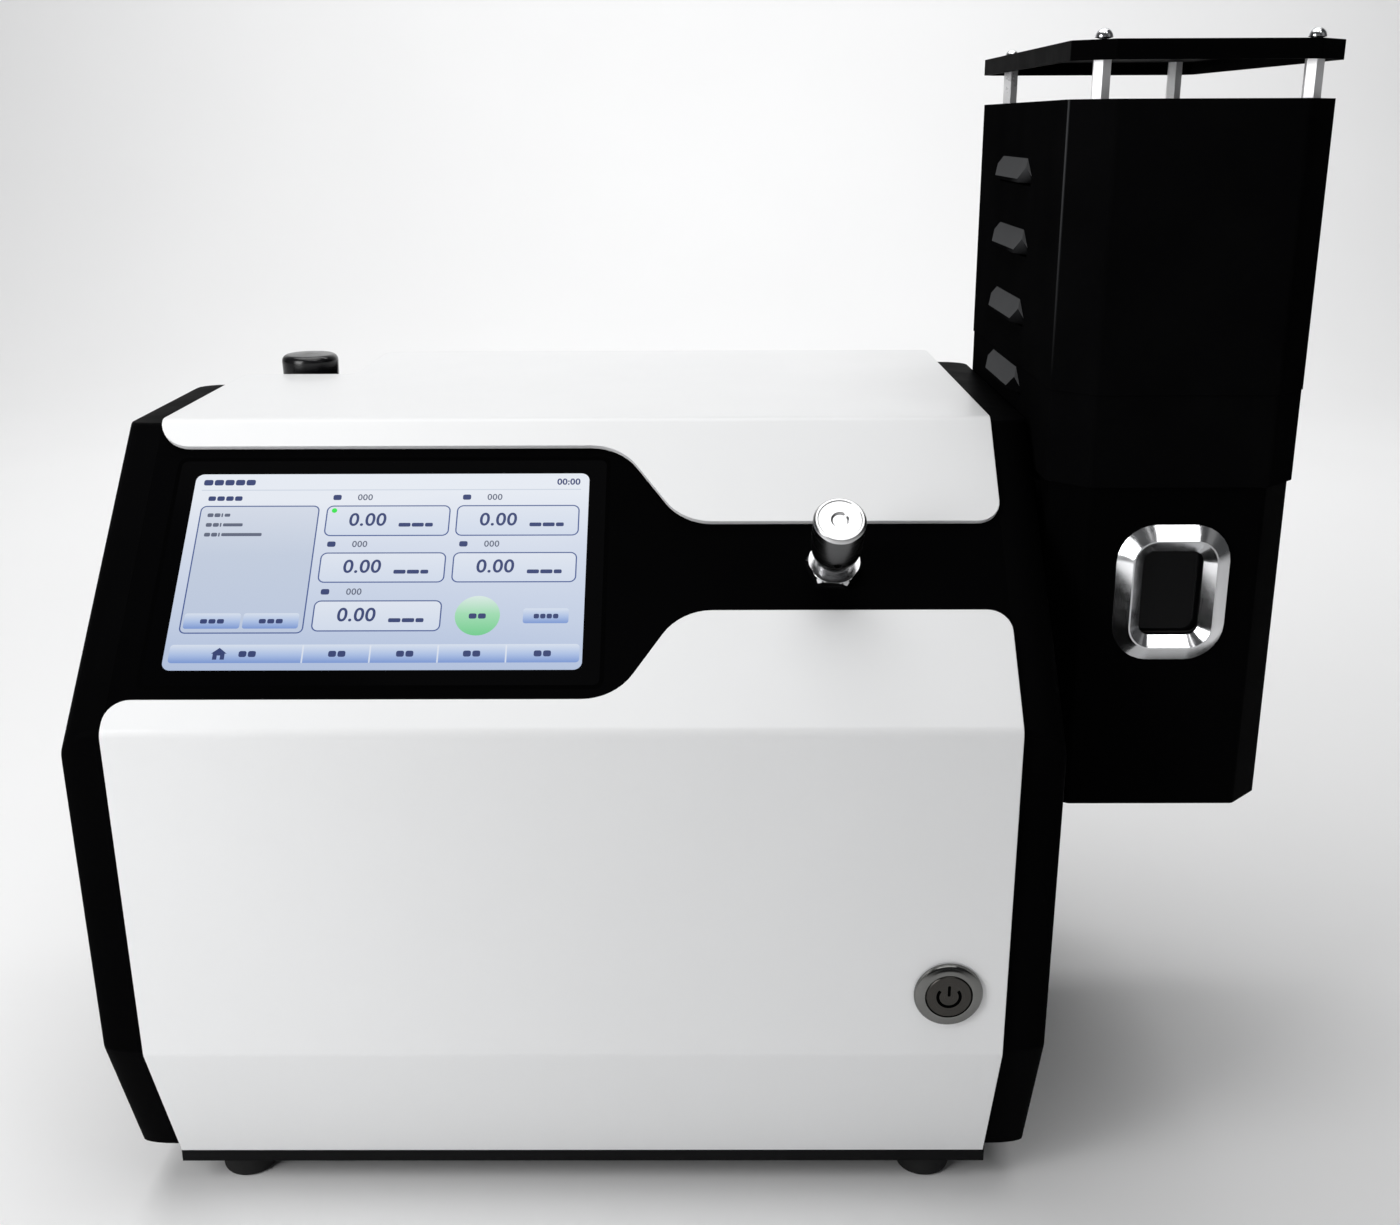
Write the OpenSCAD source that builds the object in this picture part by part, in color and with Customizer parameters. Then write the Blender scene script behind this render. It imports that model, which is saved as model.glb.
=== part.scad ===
// Bench flame photometer: folded black body with two raised white covers,
// sloping touch screen fascia, metering valve, push button, rear regulator,
// and a side-mounted burner housing with a louvred chimney.
// Millimetres. X to the right, Y to the back, Z up. Feet stand on Z = 0.

/* [Body] */
// Width over the two side cheeks
body_w = 364; // [356:1:372]
// Width of the white covers
cover_w = 330; // [324:1:334]
// Thickness of the white covers
cover_t = 2; // [1.5:0.1:2.5]
// Thickness of the folded black sheet
sheet_t = 1.5; // [1.2:0.1:2]
// Height of the top cover's surface above the bench
top_z = 310.7; // [306:0.1:314]
// Height of the front fold, where the slope begins
fold_z = 215.3; // [212:0.1:218]
// Horizontal run of the sloping fascia
slope_run = 99.3; // [97:0.1:102]
// Height of the lower front fold
toe_z = 81.4; // [78:0.1:85]
// How far the bottom edge of the front sits back
toe_back = 29.2; // [27:0.1:31]
// Depth of the body to the back edge of the top cover
body_d = 289.5; // [288:0.1:291]
// Rounding of the cheeks' outer edges
cheek_r = 14; // [11:0.5:15]

/* [Covers] */
// Upper cover's lower edge on the slope, over the screen
up_left_t = 124.2; // [122:0.1:126]
// Upper cover's lower edge on the slope, over the valve
up_right_t = 88.8; // [86:0.1:92]
// Front cover's top edge on the slope, under the screen
lo_left_t = 13.6; // [11:0.1:16]
// Front cover's top edge on the slope, under the valve
lo_right_t = 50; // [47:0.1:53]
// Radius of the S-shaped edges
s_r = 22; // [18:1:24]

/* [Screen] */
// Width of the lit screen area
lcd_w = 154.08; // [150:0.01:156]
// Height of the lit screen area
lcd_h = 85.92; // [84:0.01:88]
// Left edge of the lit area from the body's middle
lcd_x = -147.8; // [-149:0.1:-146]
// Bottom edge of the lit area up the slope
lcd_t = 26.4; // [26:0.1:28]

/* [Controls] */
// Metering valve, distance right of the body's middle
valve_x = 100; // [95:0.5:105]
// Metering valve, distance up the slope
valve_t = 69.4; // [68:0.1:71]
// Metering valve knob diameter
valve_knob_d = 19.4; // [18:0.1:21]
// Push button, distance right of the body's middle
btn_x = 142.8; // [138:0.1:146]
// Push button, distance up the front face from the lower fold
btn_t = 27.3; // [26:0.1:32]
// Push button bezel diameter
btn_d = 26; // [24:0.1:28]
// Regulator knob diameter
reg_d = 27.4; // [25:0.1:29]
// Regulator knob, distance left of the body's middle
reg_x = -139.5; // [-141:0.5:-137]
// Regulator knob, distance from the front
reg_y = 238; // [236:0.5:242]

/* [Chimney] */
// Width of the chimney sleeve
ch_w = 96; // [92:0.5:100]
// Depth of the chimney sleeve
ch_d = 196.8; // [190:0.2:200]
// Front of the chimney sleeve from the front of the body
ch_y = 59.2; // [56:0.1:62]
// Height of the sleeve's bottom edge
sleeve_z0 = 290.5; // [286:0.1:294]
// Height of the sleeve's top edge
sleeve_z1 = 430.1; // [420:0.1:440]
// Height of the burner housing's underside
house_z0 = 160; // [155:0.5:165]
// Front corner chamfer of the sleeve
ch_c = 14; // [10:0.5:16]
// Gap between the sleeve and the cap's rim
cap_gap = 13; // [10:0.5:16]
// Depth of the cap's folded rim
cap_h = 6.8; // [5:0.1:8]

/* [Hidden] */
$fn = 64;
half = body_w / 2;
flat = cover_w / 2;
foot_h = 12.4;
// side profile of the white covers, from the bottom edge to the back edge
W = [[toe_back, 19.2], [3, toe_z], [0, fold_z], [slope_run, top_z], [body_d, top_z]];
slope_a = atan2(top_z - fold_z, slope_run);
front_a = atan2(fold_z - toe_z, -3);
bend_r = 6;
deck_z = 284.5;
shell_back = 286;
sl_x0 = half + 0.3;
sl_x1 = sl_x0 + ch_w;
sl_y1 = ch_y + ch_d;
bx = (sl_x0 + sl_x1) / 2;
by = ch_y + ch_d / 2;
win_z = 249;
cap_z0 = sleeve_z1 + cap_gap;
cap_z1 = cap_z0 + cap_h;
opt_z = 256;
back_max = 306;
x_mid = (-half + sl_x1 + 3.8) / 2;
y_mid = (back_max - 0.3) / 2;

// ---------- geometry helpers ----------
function unit(v) = v / norm(v);
function outn(a, b) = let (d = unit(b - a)) [-d[1], d[0]];
function cross2(a, b) = a[0] * b[1] - a[1] * b[0];
// open path moved inwards by d, with mitred corners
function offp(P, d) = [for (i = [0:len(P) - 1])
  let (n1 = outn(P[max(i - 1, 0)], P[max(i - 1, 0) + 1]), n2 = outn(P[min(i, len(P) - 2)], P[min(i, len(P) - 2) + 1]))
  P[i] - (n1 + n2) / (1 + n1 * n2) * d];
function arc_pts(A, B, C, r, n) = let (u = unit(A - B), v = unit(C - B), h = acos(max(-1, min(1, u * v))) / 2)
  (h > 89.5 || r < 0.01) ? [B] :
  let (tl = r / tan(h), c = B + unit(u + v) * r / sin(h), t1 = B + u * tl - c, t2 = B + v * tl - c,
       a1 = atan2(t1[1], t1[0]), dd = atan2(cross2(t1, t2), t1 * t2))
  [for (k = [0:n]) c + r * [cos(a1 + dd * k / n), sin(a1 + dd * k / n)]];
// open path with every inner corner rounded; R is one radius or a list
function rnd(P, R, n = 6) = [for (i = [0:len(P) - 1]) each
  (i == 0 || i == len(P) - 1) ? [P[i]] : arc_pts(P[i - 1], P[i], P[i + 1], is_list(R) ? R[i] : R, n)];
// closed outline with rounded corners
function rndc(P, R, n = 6) = let (m = len(P)) [for (i = [0:m - 1]) each
  arc_pts(P[(i + m - 1) % m], P[i], P[(i + 1) % m], is_list(R) ? R[i] : R, n)];
function rev(L) = [for (i = [len(L) - 1:-1:0]) L[i]];
function strip(P, t, r) = concat(rnd(P, r), rev(rnd(offp(P, t), r - t)));
function rrect(w, h, r) = rndc([[-w / 2, -h / 2], [w / 2, -h / 2], [w / 2, h / 2], [-w / 2, h / 2]], r, 5);
// tube along a list of points
function sweep_ring(p, t, r, n) = let (z = unit(t), x = unit(cross(abs(z[2]) < 0.8 ? [0, 0, 1] : [1, 0, 0], z)), y = cross(z, x))
  [for (i = [0:n - 1]) p + r * (x * cos(360 * i / n) + y * sin(360 * i / n))];
function bez(a, b, c, d, k) = a * pow(1 - k, 3) + 3 * b * k * pow(1 - k, 2) + 3 * c * k * k * (1 - k) + d * pow(k, 3);
module sweep(path, r, n = 8) {
  m = len(path);
  pts = [for (i = [0:m - 1]) each sweep_ring(path[i], path[min(i + 1, m - 1)] - path[max(i - 1, 0)], r, n)];
  polyhedron(pts, concat([[for (i = [0:n - 1]) i]], [[for (i = [n - 1:-1:0]) (m - 1) * n + i]],
    [for (s = [0:m - 2], i = [0:n - 1]) [s * n + i, (s + 1) * n + i, (s + 1) * n + (i + 1) % n]],
    [for (s = [0:m - 2], i = [0:n - 1]) [s * n + i, (s + 1) * n + (i + 1) % n, s * n + (i + 1) % n]]));
}
module along_x(x0, x1, P) { translate([x0, 0, 0]) rotate([90, 0, 90]) linear_extrude(x1 - x0) polygon(P); }
// local frame on the sloping fascia: x across, y up the slope, z outwards
module on_slope(x = 0, t = 0, h = 0) { translate([0, 0, fold_z]) rotate([slope_a, 0, 0]) translate([x, t, h]) children(); }
// local frame on the front face
module on_front(x = 0, t = 0, h = 0) { translate([0, 3, toe_z]) rotate([front_a, 0, 0]) translate([x, t, h]) children(); }
module tube(r1, r2, h) { difference() { cylinder(r = r1, h = h); translate([0, 0, -1]) cylinder(r = r2, h = h + 2); } }
module hexprism(af, h) { cylinder(r = af / 2 / cos(30), h = h, $fn = 6); }
module box(x0, x1, y0, y1, z0, z1) { translate([x0, y0, z0]) cube([x1 - x0, y1 - y0, z1 - z0]); }
module bar_x(x0, x1, y, z, r) { translate([x0, y, z]) rotate([0, 90, 0]) cylinder(r = r, h = x1 - x0); }
module bar_y(y0, y1, x, z, r) { translate([x, y0, z]) rotate([-90, 0, 0]) cylinder(r = r, h = y1 - y0); }

// ---------- cheeks ----------
B = offp(W, cover_t);
cheek_bot = 21.7;
b0 = let (d = unit(B[1] - B[0])) B[0] + d * (cheek_bot - B[0][1]) / d[1];
// sharp outline, how far the edge after each point rounds in, and each corner's radius
right_pts = [b0, B[1], B[2], B[3], [shell_back, B[3][1]], [shell_back, cheek_bot]];
right_k = [0.25, 0.25, 0.75, 0.12, 0, 0];
right_r = [0, 4, 4, 4, 25, 0];
left_pts = [b0, B[1], B[2], B[3], [212.5, B[3][1]], [212.5, deck_z], [shell_back, deck_z], [shell_back, cheek_bot]];
left_k = [0.25, 0.25, 0.75, 0.12, 0.12, 0.12, 0, 0];
left_r = [0, 4, 4, 4, 16, 0, 0, 0];
function isect(p, u, q, v) = let (c = cross2(u, v)) abs(c) < 1e-9 ? q : p + u * (cross2(q - p, v) / c);
function shrink(P, K, d, e = 0) = let (m = len(P)) [for (i = [0:m - 1])
  let (a = P[(i + m - 1) % m], b = P[i], c = P[(i + 1) % m], n1 = outn(a, b), n2 = outn(b, c),
       k1 = K[(i + m - 1) % m], k2 = K[i])
  isect(b - n1 * (d * k1 + e), b - a, b - n2 * (d * k2 + e), c - b)];
// side is 1 for the right cheek and -1 for the left
module cheek(P, K, R, side) {
  ns = 6;
  xs = concat([flat, half - cheek_r], [for (j = [1:ns]) half - cheek_r + cheek_r * sin(90 * j / ns)]);
  ds = concat([0, 0], [for (j = [1:ns]) cheek_r * (1 - cos(90 * j / ns))]);
  L = [for (j = [0:len(xs) - 1]) rndc(shrink(P, K, ds[j]), R, 4)];
  m = len(L[0]);
  pts = [for (j = [0:len(xs) - 1], i = [0:m - 1]) [side * xs[j], L[j][i][0], L[j][i][1]]];
  faces = concat([[for (i = [0:m - 1]) i]], [[for (i = [m - 1:-1:0]) (len(xs) - 1) * m + i]],
    [for (j = [0:len(xs) - 2], i = [0:m - 1]) [j * m + i, (j + 1) * m + i, (j + 1) * m + (i + 1) % m]],
    [for (j = [0:len(xs) - 2], i = [0:m - 1]) [j * m + i, (j + 1) * m + (i + 1) % m, j * m + (i + 1) % m]]);
  difference() {
    polyhedron(pts, side < 0 ? faces : [for (f = faces) rev(f)]);
    along_x(side < 0 ? -half + 6.6 : flat - 1, side < 0 ? -flat + 1 : half - 6.6, shrink(P, [for (p = P) 1], 0, 7.5));
    children();
  }
}
module left_cheek() { color([0.03, 0.03, 0.032]) cheek(left_pts, left_k, left_r, -1); }
module right_cheek() {
  // light port, gas and air passages into the burner housing
  color([0.03, 0.03, 0.032]) cheek(right_pts, right_k, right_r, 1) {
    bar_x(half - 8, half + 1, by, opt_z, 21);
    bar_x(half - 8, half + 1, by - 30, 200, 7);
    bar_x(half - 8, half + 1, by + 30, 200, 7);
  }
}

// ---------- folded shell, deck, panels ----------
module wrap_shell() {
  P = [B[0], B[1], B[2], B[3], [shell_back, B[3][1]]];
  color([0.03, 0.03, 0.032]) difference() {
    along_x(-flat, flat, strip(P, sheet_t, bend_r - cover_t));
    on_slope(0, 0, -cover_t) translate([lcd_x + lcd_w / 2, lcd_t + lcd_h / 2, -6]) linear_extrude(12) polygon(rrect(169.4, 100.4, 3));
    on_slope(valve_x, valve_t, -10) cylinder(r = 6.3, h = 20);
    on_front(btn_x, btn_t, -10) cylinder(r = 11.1, h = 20);
    box(-flat - 1, -110, 211, 300, 290, 330);
  }
}
module regulator_deck() {
  zt = B[3][1] - sheet_t;
  color([0.03, 0.03, 0.032]) difference() {
    union() {
      box(-flat, -110, 211, 283.9, deck_z - sheet_t, deck_z);
      box(-flat, -110, 211, 212.5, deck_z - sheet_t, zt + sheet_t);
      box(-111.5, -110, 212.5, 283.9, deck_z - sheet_t, zt + sheet_t);
    }
    box(-flat - 1, -109, 210.9, 211, 0, 400);
    translate([reg_x, reg_y, deck_z - 5]) cylinder(r = 15, h = 10);
  }
}
// upper white cover: slope lip, top facet, notch behind at the left
module upper_cover() {
  keep_s = rnd([[-flat, 230], [-flat, up_left_t], [18.2, up_left_t], [42.7, up_right_t], [flat, up_right_t], [flat, 230]],
    [0, 13, s_r, s_r, 9, 0], 8);
  keep_t = rndc([[-flat, 60], [flat, 60], [flat, body_d], [-112.5, body_d], [-112.5, 214.5], [-flat, 214.5]],
    [0.001, 0.001, 4, 8, 7, 3], 6);
  P = [W[2] + (W[3] - W[2]) * 0.55, W[3], W[4]];
  color([0.93, 0.94, 0.95]) difference() {
    along_x(-flat, flat, strip(P, cover_t, bend_r));
    on_slope(0, 0, -9) difference() {
      translate([-200, 20, 0]) cube([400, norm(W[3] - W[2]) - 21, 18]);
      translate([0, 0, -1]) linear_extrude(20) polygon(keep_s);
    }
    translate([0, 0, top_z - 9]) difference() {
      translate([-200, slope_run + 20, 0]) cube([400, 300, 18]);
      translate([0, 0, -1]) linear_extrude(20) polygon(keep_t);
    }
    // the left nose narrows where the slope lip meets the top facet
    on_slope(-flat, up_left_t, -9) difference() {
      translate([-1, -1, 0]) cube([14, 14, 18]);
      translate([13, 13, -1]) cylinder(r = 13, h = 20);
    }
  }
}
module front_cover() {
  keep = rnd([[-flat, -60], [-flat, lo_left_t], [18.6, lo_left_t], [42.2, lo_right_t], [flat, lo_right_t], [flat, -60]],
    [0, 9, s_r, s_r, 9, 0], 8);
  P = [W[0], W[1], W[2], W[2] + (W[3] - W[2]) * 0.5];
  color([0.93, 0.94, 0.95]) difference() {
    along_x(-flat, flat, strip(P, cover_t, bend_r));
    on_slope(0, 0, -9) difference() {
      translate([-200, 3.5, 0]) cube([400, 100, 18]);
      translate([0, 0, -1]) linear_extrude(20) polygon(keep);
    }
    on_front(btn_x, btn_t, -10) cylinder(r = 11.1, h = 20);
  }
}
module base_tray() {
  x0 = -166; x1 = 166; y0 = 31.4; y1 = 283.9;
  color([0.05, 0.05, 0.055]) difference() {
    union() {
      box(x0, x1, y0, y1, foot_h, foot_h + 2);
      box(x0, x1, y0, y0 + 2, foot_h, 19);
      box(x0, x0 + 2, y0 + 2, y1, foot_h, 21.5);
      box(x1 - 2, x1, y0 + 2, y1, foot_h, 21.5);
    }
    for (x = [-143, 143], y = [48, 262]) translate([x, y, 0]) cylinder(r = 2.1, h = 30);
    for (i = [0:9]) box(-60 + i * 10, -55 + i * 10, 200, 240, 5, 20);
  }
}
module rear_panel() {
  zt = B[3][1] - sheet_t;
  color([0.06, 0.06, 0.065]) difference() {
    box(-flat + 0.5, flat - 0.5, 284, 285.6, foot_h, zt - 0.1);
    box(-flat - 1, -110, 280, 290, deck_z + 0.1, 400);
    translate([-100, 280, 60]) box(-24, 24, 0, 10, -14, 14);
    box(-20.5, 0.5, 280, 290, 54, 65);
    bar_y(280, 290, 60, 80, 7.1);
    bar_y(280, 290, 110, 80, 6.6);
    for (i = [0:11]) box(-60 + i * 10, -55 + i * 10, 280, 290, 200, 250);
    for (x = [-155, 155], z = [28, 270]) bar_y(280, 290, x, z, 1.6);
  }
}
module panel_screws() {
  color([0.6, 0.6, 0.62]) for (x = [-155, 155], z = [28, 270]) {
    bar_y(278, 286, x, z, 1.5);
    translate([x, 285.6, z]) rotate([-90, 0, 0]) difference() {
      cylinder(r1 = 3, r2 = 2.2, h = 1.8);
      translate([0, 0, 0.8]) hexprism(2, 3);
    }
  }
}
module rubber_feet() {
  color([0.02, 0.02, 0.02]) for (x = [-143, 143], y = [48, 262]) translate([x, y, 0]) difference() {
    rotate_extrude() polygon(concat([[0, 0]], [for (a = [-90:15:0]) [9 + 2 * cos(a), 2 + 2 * sin(a)]], [[12, foot_h - 1], [12, foot_h], [0, foot_h]]));
    translate([0, 0, -1]) cylinder(r = 4.5, h = 5.5);
    cylinder(r = 2.1, h = 30);
  }
}
module foot_screws() {
  color([0.6, 0.6, 0.62]) for (x = [-143, 143], y = [48, 262]) translate([x, y, 2.3]) difference() {
    union() { cylinder(r = 3.9, h = 2.2); cylinder(r = 2, h = 14.5); }
    translate([0, 0, -1]) hexprism(2.5, 2.4);
  }
}

// ---------- screen ----------
module touch_glass() {
  color([0.02, 0.02, 0.025]) on_slope(lcd_x + lcd_w / 2, lcd_t + lcd_h / 2, -cover_t - 1.8) linear_extrude(1.8) polygon(rrect(169, 100, 2.8));
}
module lcd_module() {
  color([0.7, 0.71, 0.73]) on_slope(lcd_x + lcd_w / 2, lcd_t + lcd_h / 2, -cover_t - 8.2) linear_extrude(6.2) polygon(rrect(164.9, 96, 1));
}
module display_board() {
  color([0.05, 0.3, 0.16]) on_slope(lcd_x + lcd_w / 2, lcd_t + lcd_h / 2, -cover_t - 16) {
    translate([-75, -45, 0]) cube([150, 90, 1.6]);
    translate([-50, -20, -3]) cube([24, 24, 3]);
    translate([0, 10, -4]) cube([14, 14, 4]);
    translate([40, -35, -8]) cube([12, 40, 8]);
    for (x = [-70, 70], y = [-40, 40]) translate([x, y, 1.6]) cylinder(r = 2.5, h = 6.1);
  }
}

// ---------- metering valve ----------
module valve_body() {
  color([0.75, 0.75, 0.76]) on_slope(valve_x, valve_t, -cover_t) difference() {
    union() {
      cylinder(r = 6.8, h = 8);
      translate([0, 0, 5.4]) cylinder(r = 7, h = 2);
      translate([0, 0, -10]) cylinder(r = 6.2, h = 12);
      translate([-9, -9, -30]) cube([18, 18, 20]);
      translate([-22, 0, -20]) rotate([0, 90, 0]) cylinder(r = 4, h = 44);
    }
    translate([0, 0, -24]) cylinder(r = 2.55, h = 40);
    translate([-23, 0, -20]) rotate([0, 90, 0]) cylinder(r = 1.6, h = 16);
    translate([8, 0, -20]) rotate([0, 90, 0]) cylinder(r = 1.6, h = 17);
  }
}
module valve_nut() {
  color([0.8, 0.8, 0.82]) on_slope(valve_x, valve_t, -cover_t) rotate([0, 0, -6]) difference() {
    intersection() {
      hexprism(19, 5);
      cylinder(r1 = 13.5, r2 = 9.7, h = 5);
    }
    translate([0, 0, -1]) cylinder(r = 6.85, h = 8);
  }
}
module valve_stem() {
  color([0.7, 0.7, 0.72]) on_slope(valve_x, valve_t, -cover_t) {
    translate([0, 0, -17]) cylinder(r = 2.5, h = 43);
    translate([0, 0, -21]) cylinder(r1 = 0.6, r2 = 2.5, h = 4);
  }
}
module valve_knob() {
  rk = valve_knob_d / 2;
  color([0.8, 0.8, 0.82]) on_slope(valve_x, valve_t, -cover_t) difference() {
    rotate_extrude() polygon(concat([[0, 8.4], [6.2, 8.4], [6.4, 8.8]],
      [for (k = [0:8]) [6.4 + (rk - 6.4) * sin(90 * k / 8), 9 + 11 * (1 - cos(90 * k / 8))]],
      [[rk, 33.2], [rk - 0.9, 34.3], [rk - 1.6, 34.3], [rk - 1.9, 34], [3.3, 34], [2.6, 33.2], [0, 33.2]]));
    translate([0, 0, 7]) cylinder(r = 2.55, h = 23.5);
    translate([0, 0, 17]) rotate([90, 0, 0]) cylinder(r = 1.55, h = 20);
  }
}
module valve_grub_screw() {
  color([0.15, 0.15, 0.16]) on_slope(valve_x, valve_t, -cover_t) translate([0, -2.7, 17]) rotate([90, 0, 0]) difference() {
    cylinder(r = 1.5, h = 5.4);
    translate([0, 0, 4]) hexprism(1.5, 3);
  }
}

// ---------- push button ----------
module button_body() {
  color([0.78, 0.78, 0.8]) on_front(btn_x, btn_t, 0) difference() {
    union() {
      rotate_extrude() polygon([[0, 0.4], [btn_d / 2, 0.4], [btn_d / 2, 1.1], [btn_d / 2 - 0.5, 1.9], [10.2, 2.6], [9.4, 2.6], [0, 2.6]]);
      translate([0, 0, -24]) cylinder(r = 11, h = 24.5);
    }
    translate([0, 0, -9]) cylinder(r = 9, h = 20);
    translate([0, 0, -23]) cylinder(r = 4.2, h = 20);
  }
}
module button_cap() {
  color([0.72, 0.72, 0.74]) on_front(btn_x, btn_t, 0) union() {
    rotate_extrude() polygon([[0, -6.5], [8.7, -6.5], [8.7, 2.2], [8.3, 2.7], [0, 2.7]]);
    translate([0, 0, -20]) cylinder(r = 3.8, h = 14);
  }
}
module button_nut() {
  color([0.6, 0.6, 0.62]) on_front(btn_x, btn_t, -cover_t - sheet_t - 4.2) difference() { hexprism(26, 4); translate([0, 0, -1]) cylinder(r = 11.05, h = 8); }
}
module button_seal() {
  color([0.03, 0.03, 0.03]) on_front(btn_x, btn_t, 0) tube(12.6, 11.15, 0.38);
}

// ---------- regulator ----------
module regulator_body() {
  color([0.25, 0.25, 0.27]) translate([reg_x, reg_y, 0]) difference() {
    union() {
      translate([0, 0, 255]) cylinder(r = 14.8, h = 35);
      translate([0, 0, 290]) cylinder(r = 7.5, h = 8);
      translate([-20, -20, 226]) cube([40, 40, 30]);
      translate([0, 0, 214]) cylinder(r = 13, h = 13);
      translate([20, 0, 242]) rotate([0, 90, 0]) cylinder(r = 7, h = 10);
      translate([0, 20, 242]) rotate([-90, 0, 0]) cylinder(r = 7, h = 10);
    }
    translate([0, 0, 264]) cylinder(r = 3.05, h = 60);
    translate([19, 0, 242]) rotate([0, 90, 0]) cylinder(r = 4, h = 14);
    translate([0, 19, 242]) rotate([-90, 0, 0]) cylinder(r = 4, h = 14);
  }
}
module regulator_nut() {
  color([0.1, 0.1, 0.1]) translate([reg_x, reg_y, deck_z]) difference() {
    cylinder(r = 18.5, h = 4.6);
    translate([0, 0, -1]) cylinder(r = 14.85, h = 8);
    for (a = [0:45:359]) rotate([0, 0, a]) translate([17.4, -1.5, -1]) cube([4, 3, 8]);
  }
}
module regulator_screw() {
  color([0.6, 0.6, 0.62]) translate([reg_x, reg_y, 0]) {
    translate([0, 0, 268]) cylinder(r = 3, h = 31);
    translate([-2.5, -2.5, 299]) cube([5, 5, 11]);
  }
}
module regulator_knob() {
  rk = reg_d / 2;
  color([0.02, 0.02, 0.02]) translate([reg_x, reg_y, 0]) difference() {
    rotate_extrude() polygon(concat([[0, 290.6], [rk - 0.6, 290.6], [rk, 291.2], [rk, 296], [rk - 0.9, 297], [rk - 0.4, 313.5]],
      [for (a = [15:15:90]) [rk - 3.4 + 3 * cos(a), 313.9 + 3 * sin(a)]], [[0, 317.6]]));
    translate([0, 0, 289]) cylinder(r = 8.2, h = 13);
    translate([-2.8, -2.8, 300]) cube([5.6, 5.6, 13.5]);
    for (a = [0:12:359]) rotate([0, 0, a]) translate([rk - 0.35, -0.55, 298]) cube([3, 1.1, 14]);
  }
}

// ---------- burner housing and chimney ----------
function boxline(i, c) = let (k = c - 0.586 * i, b = 5 - 0.586 * i) [[sl_x0 + i + k, ch_y + i], [sl_x1 - i - k, ch_y + i], [sl_x1 - i, ch_y + i + k],
  [sl_x1 - i, sl_y1 - i - b], [sl_x1 - i - b, sl_y1 - i], [sl_x0 + i + b, sl_y1 - i], [sl_x0 + i, sl_y1 - i - b], [sl_x0 + i, ch_y + i + k]];
module rbox(i, z0, z1, r = 3, c = ch_c) { translate([0, 0, z0]) linear_extrude(z1 - z0) polygon(rndc(boxline(i, c), r, 4)); }
module burner_housing() {
  color([0.03, 0.03, 0.032]) difference() {
    union() {
      rbox(1.9, house_z0, sleeve_z0 + 14);
      // hat spacers that hold the housing off the cheek
      for (z = [166, 276]) box(half + 0.05, sl_x0 + 2.2, ch_y + 26, sl_y1 - 16, z, z + 11);
    }
    rbox(3.4, house_z0 + 1.5, 500, 2);
    translate([bx + 0.6, ch_y + 10, win_z]) rotate([90, 0, 0]) linear_extrude(20) polygon(rrect(26, 34, 5));
    bar_x(half - 1, half + 8, by, opt_z, 21);
    bar_x(half - 1, half + 8, by - 30, 200, 7);
    bar_x(half - 1, half + 8, by + 30, 200, 7);
    translate([bx, by, 150]) cylinder(r = 8.2, h = 20);
    translate([bx + 12, by + 34, 150]) cylinder(r = 5.2, h = 20);
    for (i = [0:4]) translate([bx, by + 62 + i * 7, 150]) box(-25, 25, 0, 3, 0, 20);
    for (i = [0:4]) translate([bx, ch_y + 20 + i * 7, 150]) box(-25, 25, 0, 3, 0, 20);
  }
}
// one louvre on a side wall: sloped hood with tapered ends, open below
module hood() {
  intersection() {
    rotate([90, 0, 0]) translate([0, 0, -41]) linear_extrude(82) polygon([[1, 0], [1, 12], [-3.8, 1.4], [-3.8, 0]]);
    rotate([90, 0, 90]) translate([0, 0, -5]) linear_extrude(10) polygon([[-40, -1], [40, -1], [40, 0], [23, 12], [23, 13], [-23, 13], [-23, 12], [-40, 0]]);
    translate([0, 0, -1]) linear_extrude(14) polygon([[1, -40], [1, 40], [-3.8, 25], [-3.8, -25]]);
  }
}
module louvres(z0) {
  for (z = z0) translate([sl_x0, 166, z]) children();
  for (z = z0) translate([sl_x1, 166, z]) mirror([1, 0, 0]) children();
}
module chimney_sleeve() {
  lz = [399, 371, 343, 315];
  color([0.03, 0.03, 0.032]) difference() {
    union() {
      difference() {
        union() { rbox(0, sleeve_z0 + 35, sleeve_z1); rbox(0.4, sleeve_z0, sleeve_z0 + 36); }
        rbox(1.5, sleeve_z0 - 1, sleeve_z1 - 1.5, 2);
        translate([bx, by, sleeve_z1 - 3]) linear_extrude(6) polygon(rrect(ch_w - 40, ch_d - 52, 6));
      }
      louvres(lz) hood();
    }
    louvres(lz) translate([1.2, 0, -1.2]) hood();
    for (x = [sl_x0 + 10.4, sl_x1 - 10.4], y = [ch_y + 10.8, sl_y1 - 13]) translate([x, y, sleeve_z1 - 5]) cylinder(r = 1.6, h = 10);
  }
}
module chimney_cap() {
  color([0.03, 0.03, 0.032]) difference() {
    rbox(-0.6, cap_z0, cap_z1, 2, 12.5);
    rbox(0.9, cap_z0 - 1, cap_z1 - 1.5, 1.2, 12.5);
    for (x = [sl_x0 + 10.4, sl_x1 - 10.4], y = [ch_y + 10.8, sl_y1 - 13]) translate([x, y, cap_z1 - 5]) cylinder(r = 1.6, h = 10);
  }
}
module cap_standoffs() {
  color([0.78, 0.78, 0.8]) for (x = [sl_x0 + 10.4, sl_x1 - 10.4], y = [ch_y + 10.8, sl_y1 - 13]) translate([x, y, sleeve_z1]) rotate([0, 0, 22]) difference() {
    hexprism(6, cap_z1 - 1.5 - sleeve_z1);
    translate([0, 0, 6]) cylinder(r = 1.55, h = 40);
  }
}
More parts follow.
